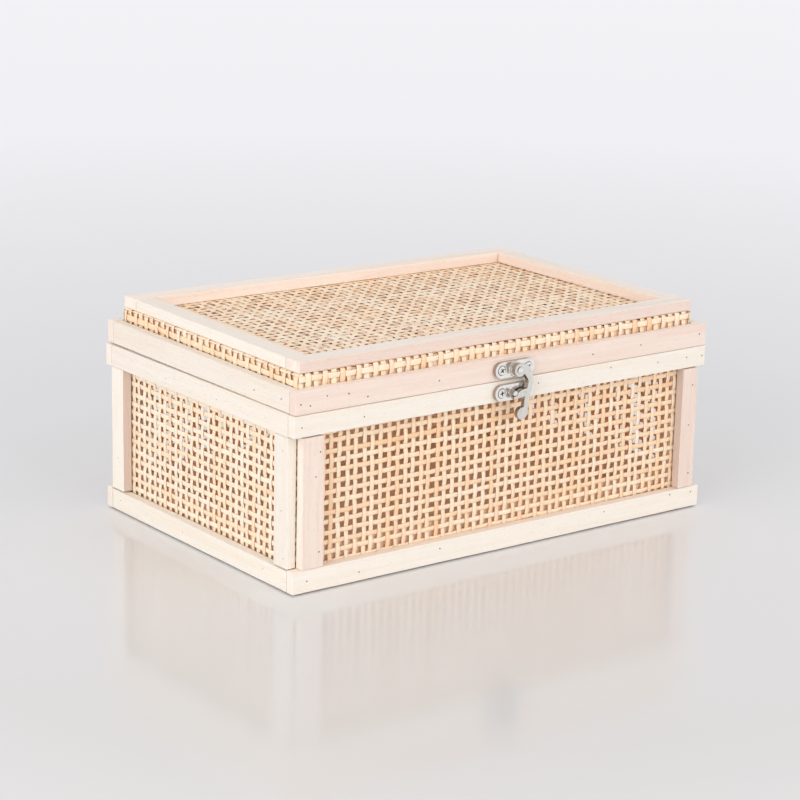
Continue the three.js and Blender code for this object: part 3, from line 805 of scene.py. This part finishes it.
def fastener_tree():
    """Puts a fastener on every point, its head facing the point's own way, turned and sized by the point."""
    tree = bpy.data.node_groups.new("fasteners", "GeometryNodeTree")
    add_socket(tree, "Geometry", "INPUT", "NodeSocketGeometry")
    add_socket(tree, "Fastener", "INPUT", "NodeSocketObject")
    add_socket(tree, "Material", "INPUT", "NodeSocketMaterial")
    add_socket(tree, "Geometry", "OUTPUT", "NodeSocketGeometry")
    given = add_node(tree, "NodeGroupInput").outputs

    def mark(name, kind):
        node = add_node(tree, "GeometryNodeInputNamedAttribute", {"Name": name}, data_type=kind)
        return find_socket(node.outputs, "Attribute")

    facing = add_node(tree, "FunctionNodeAlignRotationToVector", {"Vector": mark("facing", "FLOAT_VECTOR")},
                      axis="Z")
    spin = add_node(tree, "FunctionNodeAxisAngleToRotation",
                    {"Axis": (0, 0, 1), "Angle": mark("turn", "FLOAT")})
    turned = add_node(tree, "FunctionNodeRotateRotation",
                      {"Rotation": facing.outputs[0], "Rotate By": spin.outputs[0]}, rotation_space="LOCAL")
    shape = add_node(tree, "GeometryNodeObjectInfo", {"Object": given["Fastener"]})
    placed = add_node(tree, "GeometryNodeInstanceOnPoints",
                      {"Points": given["Geometry"], "Instance": shape.outputs["Geometry"],
                       "Rotation": turned.outputs[0], "Scale": mark("size", "FLOAT")})
    end_tree(tree, placed.outputs[0], given["Material"])
    return tree


def ring_of(bm, radius, height, sides):
    steps = [2 * math.pi * side / sides for side in range(sides)]
    return [bm.verts.new((radius * math.cos(step), radius * math.sin(step), height)) for step in steps]


def wall_between(bm, lower, upper):
    for side in range(len(lower)):
        after = (side + 1) % len(lower)
        bm.faces.new((lower[side], lower[after], upper[after], upper[side]))


def loop_edges(bm, loop):
    return [bm.edges.get((loop[side], loop[(side + 1) % len(loop)])) for side in range(len(loop))]


def brad_mesh():
    """A brad's head of unit radius, a low dome with a flat punch mark, set a little into the wood."""
    bm = bmesh.new()
    sides = 10
    levels = ((0.92, -0.5), (1.0, 0.0), (0.8, BRAD_HEIGHT / BRAD_RADIUS), (0.45, BRAD_HEIGHT / BRAD_RADIUS))
    rings = [ring_of(bm, radius, height, sides) for radius, height in levels]
    for lower, upper in zip(rings, rings[1:]):
        wall_between(bm, lower, upper)
    bm.faces.new(reversed(rings[0]))
    bm.faces.new(rings[-1])
    bmesh.ops.recalc_face_normals(bm, faces=bm.faces)
    return to_mesh(bm, "brad")


def screw_mesh():
    """A countersunk cross-head screw of unit head radius, its face at height zero, its rim and slots darkened
    as painted shade.
    """
    bm = bmesh.new()
    sides = 24
    levels = ((0.3, -1.7), (0.46, -1.5), (0.46, -0.5), (0.97, -0.05), (1.0, 0.0), (0.93, 0.06), (0.8, 0.09))
    rings = [ring_of(bm, radius, height, sides) for radius, height in levels]
    for lower, upper in zip(rings, rings[1:]):
        wall_between(bm, lower, upper)
    bm.faces.new(reversed(rings[0]))
    slot, arm = 0.14, 0.56
    mouth_height, floor_height, floor_taper = 0.1, -0.35, 0.7
    quarter = [(slot, slot), (arm, slot), (arm, -slot)]
    cross = []
    for turn in range(4):
        spin = Matrix.Rotation(-turn * math.pi / 2, 2)
        cross += [spin @ Vector(point) for point in quarter]
    cross = cross[::-1]
    mouth = [bm.verts.new((point.x, point.y, mouth_height)) for point in cross]
    floor = [bm.verts.new((*(point * floor_taper), floor_height)) for point in cross]
    for side in range(len(mouth)):
        after = (side + 1) % len(mouth)
        bm.edges.new((mouth[side], mouth[after]))
    bmesh.ops.bridge_loops(bm, edges=loop_edges(bm, rings[-1]) + loop_edges(bm, mouth))
    wall_between(bm, floor, mouth)
    bm.faces.new(floor)
    bmesh.ops.recalc_face_normals(bm, faces=bm.faces)
    mesh = to_mesh(bm, "screw")
    set_attribute(mesh, "painted_shade", [float(vertex.co.z < SCREW_FACE) for vertex in mesh.vertices])
    return mesh


def points_mesh(name, fasteners):
    """Points that carry which way each fastener faces, how it is turned and how large it is."""
    mesh = bpy.data.meshes.new(name)
    places, ways, turns, radii = zip(*fasteners)
    mesh.from_pydata(places, [], [])
    set_attribute(mesh, "facing", [part for way in ways for part in way], "FLOAT_VECTOR")
    set_attribute(mesh, "turn", turns)
    set_attribute(mesh, "size", radii)
    return mesh


def add_fasteners(tree, name, shape, fasteners, material, body, stands_for=()):
    values = {"Fastener": shape, "Material": material}
    mesh = grow(tree, name, points_mesh(f"{name}_points", fasteners), values)
    show_piece(name, mesh, None, body, stands_for)


# Brads as seen on the front and the left, as places along a face and heights, in millimetres
LID_FRONT_BRADS = ((-135.8, 99.3), (-130.0, 97.9), (-119.8, 101.6), (-106.4, 100.9), (-94.5, 97.6),
                   (-48.7, 99.5), (56.4, 99.4), (91.2, 100.0), (135.2, 100.6))
BOX_FRONT_BRADS = ((-135.3, 87.4), (-96.8, 87.5), (18.2, 88.9), (69.5, 90.4), (104.2, 88.5), (125.9, 88.4),
                   (137.6, 87.9), (-131.1, 6.0), (-98.4, 4.8), (-45.7, 7.8), (69.1, 8.1), (118.4, 9.6),
                   (134.4, 8.7), (-123.7, 73.2), (-126.4, 60.5), (-123.9, 20.4), (131.7, 71.7),
                   (130.1, 48.6), (131.7, 20.2))
LID_SIDE_BRADS = ((-54.1, 99.3), (-78.4, 100.1))
BOX_SIDE_BRADS = ((29.3, 86.8), (-20.4, 86.5), (-65.5, 87.4), (-78.5, 86.7), (-81.2, 73.8),
                  (-80.1, 42.1), (-82.2, 17.3), (80.6, 68.5), (79.2, 30.4), (76.8, 6.2), (12.5, 5.4),
                  (-64.0, 6.8))


def face_brads(front_places, side_places, half_length, half_width):
    """Brads on all four faces. The rear and the right take those of the front and the left, mirrored."""
    dice = random.Random("brads")
    fasteners = []
    for along, height in front_places:
        for end in (-1, 1):
            place = Vector((-end * along * MM, end * half_width, height * MM))
            fasteners.append((place, Vector((0, end, 0)), dice.uniform(0, BRAD_TURN), BRAD_RADIUS))
    for along, height in side_places:
        for end in (-1, 1):
            place = Vector((end * half_length, along * MM, height * MM))
            fasteners.append((place, Vector((end, 0, 0)), dice.uniform(0, BRAD_TURN), SIDE_BRAD_RADIUS))
    return fasteners


def add_brads(tree, finishes):
    brad = bpy.data.objects.new("brad_shape", brad_mesh())
    box_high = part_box("rim_rail_rear")[1]
    lid_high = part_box("lid_rail_rear")[1]
    box_brads = face_brads(BOX_FRONT_BRADS, BOX_SIDE_BRADS, box_high.x - SAW_WANDER, box_high.y - SAW_WANDER)
    lid_brads = face_brads(LID_FRONT_BRADS, LID_SIDE_BRADS, lid_high.x - SAW_WANDER, lid_high.y - SAW_WANDER)
    add_fasteners(tree, "box_brads", brad, box_brads, finishes["brad_steel"], "box")
    add_fasteners(tree, "lid_brads", brad, lid_brads, finishes["brad_steel"], "lid")
    bpy.data.objects.remove(brad)


def add_screws(tree, finishes):
    screw = bpy.data.objects.new("screw_shape", screw_mesh())
    dice = random.Random("screws")
    forward = Vector((0, -1, 0))
    for name, body in (("latch_screw", "lid"), ("keeper_screw", "box")):
        nodes = [f"{name}_{end}" for end in ("left", "right")]
        fasteners = []
        for node in nodes:
            low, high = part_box(node)
            place = Vector(((low.x + high.x) / 2, low.y, (low.z + high.z) / 2))
            fasteners.append((place, forward, dice.uniform(0, SCREW_TURN), LATCH_SCREW_RADIUS))
        add_fasteners(tree, f"{name}s", screw, fasteners, finishes["nickel"], body, nodes)
    backward = Vector((0, 1, 0))
    for leaf, body in (("lid", "lid"), ("box", "box")):
        fasteners = []
        for side in ("left", "right"):
            low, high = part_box(f"hinge_{side}_{leaf}_leaf")
            pin_low, pin_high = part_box(f"hinge_{side}_pin")
            middle = (low.x + high.x) / 2
            plate_face = low.y + LEAF_THICKNESS
            plate_middle = (high.z + pin_high.z + KNUCKLE_CLEAR) / 2 if leaf == "lid" else (
                low.z + pin_low.z - KNUCKLE_CLEAR) / 2
            for end in (-1, 1):
                place = Vector((middle + end * HINGE_SCREW_SPACING / 2, plate_face, plate_middle))
                fasteners.append((place, backward, dice.uniform(0, SCREW_TURN), HINGE_SCREW_RADIUS))
        add_fasteners(tree, f"hinge_screws_{leaf}", screw, fasteners, finishes["nickel"], body)
    bpy.data.objects.remove(screw)


# Nickel hardware


def merged_copy(node):
    """A piece's own solid as one joined mesh."""
    bm = bmesh.new()
    bm.from_mesh(frame["nodes"][node].data)
    bmesh.ops.remove_doubles(bm, verts=bm.verts, dist=MERGE_REACH)
    bmesh.ops.dissolve_limit(bm, angle_limit=FLAT_ANGLE, verts=bm.verts, edges=bm.edges)
    return bm


def pressed_metal(node):
    """A turned or pressed piece with its sharp edges broken."""
    bm = merged_copy(node)
    sharp = [edge for edge in bm.edges if edge.calc_face_angle(0) > SHARP_ANGLE]
    bmesh.ops.bevel(bm, geom=sharp, offset=METAL_ROUND, segments=2, profile=0.5, affect="EDGES",
                    clamp_overlap=True)
    mesh = to_mesh(bm, f"{node}_metal")
    shade_by_area(mesh)
    return mesh


def cast_metal(node):
    """A cast piece with soft round edges."""
    name = f"{node}_metal"
    caster = bpy.data.objects.new(name, to_mesh(merged_copy(node), name))
    bpy.context.scene.collection.objects.link(caster)
    remesh = caster.modifiers.new("cast", "REMESH")
    remesh.mode = "VOXEL"
    remesh.voxel_size = CAST_VOXEL
    smooth = caster.modifiers.new("soften", "SMOOTH")
    smooth.factor = 0.5
    smooth.iterations = CAST_SMOOTHING
    depsgraph = bpy.context.evaluated_depsgraph_get()
    mesh = bpy.data.meshes.new_from_object(caster.evaluated_get(depsgraph))
    bpy.data.objects.remove(caster)
    mesh.name = name
    mesh.polygons.foreach_set("use_smooth", [True] * len(mesh.polygons))
    return mesh


def mark_painted_shade(mesh):
    """Marks the sides of a flat piece of hardware, which faces forward or back, for painted shade and painted
    reflection of the wood.
    """
    facing = np.abs(read_vectors(mesh, "normal")[:, 1])
    painted_shade = np.clip((PAINTED_SHADE_FROM - facing) / PAINTED_SHADE_OVER, 0, PAINTED_SHADE_MOST)
    set_attribute(mesh, "painted_shade", painted_shade.astype(np.float32))


def add_hardware(finishes):
    pressed = ["latch_rivet"]
    for side in ("left", "right"):
        pressed += [f"hinge_{side}_box_leaf", f"hinge_{side}_lid_leaf", f"hinge_{side}_pin"]
    for node in pressed:
        mesh = pressed_metal(node)
        mark_painted_shade(mesh)
        show_piece(f"{node}_metal", mesh, finishes["nickel"], node_bodies[node], [node])
    for node, finish in (("latch_plate", "nickel"), ("latch_keeper", "nickel"), ("latch_arm", "arm_nickel")):
        mesh = cast_metal(node)
        mark_painted_shade(mesh)
        show_piece(f"{node}_metal", mesh, finishes[finish], node_bodies[node], [node])


# Stage


def direction(azimuth, elevation):
    level = math.cos(elevation)
    return Vector((math.sin(azimuth) * level, -math.cos(azimuth) * level, math.sin(elevation)))


def add_floor():
    """A pale, slightly glossy floor, painted darker at the front left as painted shade, that turns into the
    backdrop further away.
    """
    material, tree, shader = new_material("pale_floor")
    place = add_node(tree, "ShaderNodeTexCoord").outputs["Object"]
    distance = add_node(tree, "ShaderNodeVectorMath", {0: place}, operation="LENGTH").outputs["Value"]
    far = remap(tree, distance, *FLOOR_FADE)
    floor_colour = blend_colour(tree, far, colour(0.75, 0.745, 0.745), colour(0.80, 0.795, 0.81))
    # Painted shade: the floor darkens and warms towards the front left, where less light falls
    towards = {0: place, 1: direction(FLOOR_SHADE_AZIMUTH, 0)}
    depth = add_node(tree, "ShaderNodeVectorMath", towards, operation="DOT_PRODUCT").outputs["Value"]
    near = calc(tree, "MULTIPLY", remap(tree, depth, *FLOOR_SHADE), remap(tree, far, 0.0, 0.3, 1.0, 0.0))
    floor_shade = blend_colour(tree, near, floor_colour, colour(0.655, 0.633, 0.605))
    tree.links.new(floor_shade, shader.inputs["Base Color"])
    ray = add_node(tree, "ShaderNodeLightPath").outputs
    looked_at = calc(tree, "MULTIPLY", ray["Is Camera Ray"], remap(tree, distance, *FLOOR_GLOW, 0.0, 0.13))
    backdrop = calc(tree, "MULTIPLY_ADD", ray["Is Glossy Ray"], 0.15, looked_at)
    glow = blend_colour(tree, backdrop, colour(0, 0, 0), colour(1.0, 1.0, 1.04))
    tree.links.new(glow, shader.inputs["Emission Color"])
    shader.inputs["Emission Strength"].default_value = 1.0
    shader.inputs["Roughness"].default_value = 0.13
    shader.inputs["Specular IOR Level"].default_value = 1.0
    shader.inputs["IOR"].default_value = 1.6
    bm = bmesh.new()
    bmesh.ops.create_grid(bm, x_segments=4, y_segments=4, size=FLOOR_HALF_SIZE)
    bmesh.ops.translate(bm, verts=bm.verts, vec=(0, 0, -FLOOR_DROP))
    floor = bpy.data.objects.new("floor", to_mesh(bm, "floor"))
    floor.data.materials.append(material)
    bpy.context.scene.collection.objects.link(floor)


def light_studio():
    """An even studio sky, brighter towards the horizon, and two large soft lamps that mirrors don't show."""
    world = bpy.data.worlds.new("studio")
    world.use_nodes = True
    bpy.context.scene.world = world
    tree = world.node_tree
    background = tree.nodes["Background"]
    height = separate(tree, add_node(tree, "ShaderNodeTexCoord").outputs["Generated"])["Z"]
    rising = remap(tree, height, 0.0, 0.9)
    sky = blend_colour(tree, rising, colour(0.92, 0.92, 0.94), colour(0.69, 0.69, 0.71))
    seen = add_node(tree, "ShaderNodeLightPath").outputs["Is Camera Ray"]
    shown = blend_colour(tree, seen, sky, colour(0.88, 0.875, 0.92))
    tree.links.new(shown, background.inputs["Color"])

    lamps = (("left_softbox", -72, 18, 1.5, 1.2, 0.45), ("front_softbox", 10, 22, 1.6, 1.2, 0.265))
    for name, azimuth, elevation, distance, size, level in lamps:
        lamp = bpy.data.lights.new(name, "AREA")
        lamp.size = size
        lamp.energy = level * math.pi ** 2 * distance ** 2
        holder = bpy.data.objects.new(name, lamp)
        away = direction(math.radians(azimuth), math.radians(elevation))
        holder.location = CAMERA_TARGET + away * distance
        holder.rotation_euler = away.to_track_quat("Z", "Y").to_euler()
        holder.visible_glossy = False
        bpy.context.scene.collection.objects.link(holder)


def aim_camera():
    back = direction(CAMERA_AZIMUTH, CAMERA_ELEVATION)
    right = (-back).cross(Vector((0, 0, 1))).normalized()
    up = back.cross(right)
    tilted_right = math.cos(CAMERA_ROLL) * right + math.sin(CAMERA_ROLL) * up
    tilted_up = math.cos(CAMERA_ROLL) * up - math.sin(CAMERA_ROLL) * right
    lens = bpy.data.cameras.new("camera")
    lens.lens = CAMERA_LENS
    lens.sensor_width = CAMERA_SENSOR
    camera = bpy.data.objects.new("camera", lens)
    camera.matrix_world = Matrix((tilted_right, tilted_up, back)).transposed().to_4x4()
    camera.location = CAMERA_TARGET + back * CAMERA_DISTANCE
    bpy.context.scene.collection.objects.link(camera)
    bpy.context.scene.camera = camera


node_slots = {part["node"]: part["material_slot"] for part in frame["record"]["subparts"]}
node_bodies = {node: body for body, nodes in frame["record"]["behaviour"]["bodies"].items() for node in nodes}

bpy.context.scene.view_settings.view_transform = "Standard"
aim_camera()
light_studio()
add_floor()

finishes = make_finishes()
add_strips(finishes)
add_hardware(finishes)
fasteners = fastener_tree()
add_brads(fasteners, finishes)
add_screws(fasteners, finishes)
weave = weave_tree()
add_cane_walls(weave, finishes)
add_lid_cane(weave, finishes)
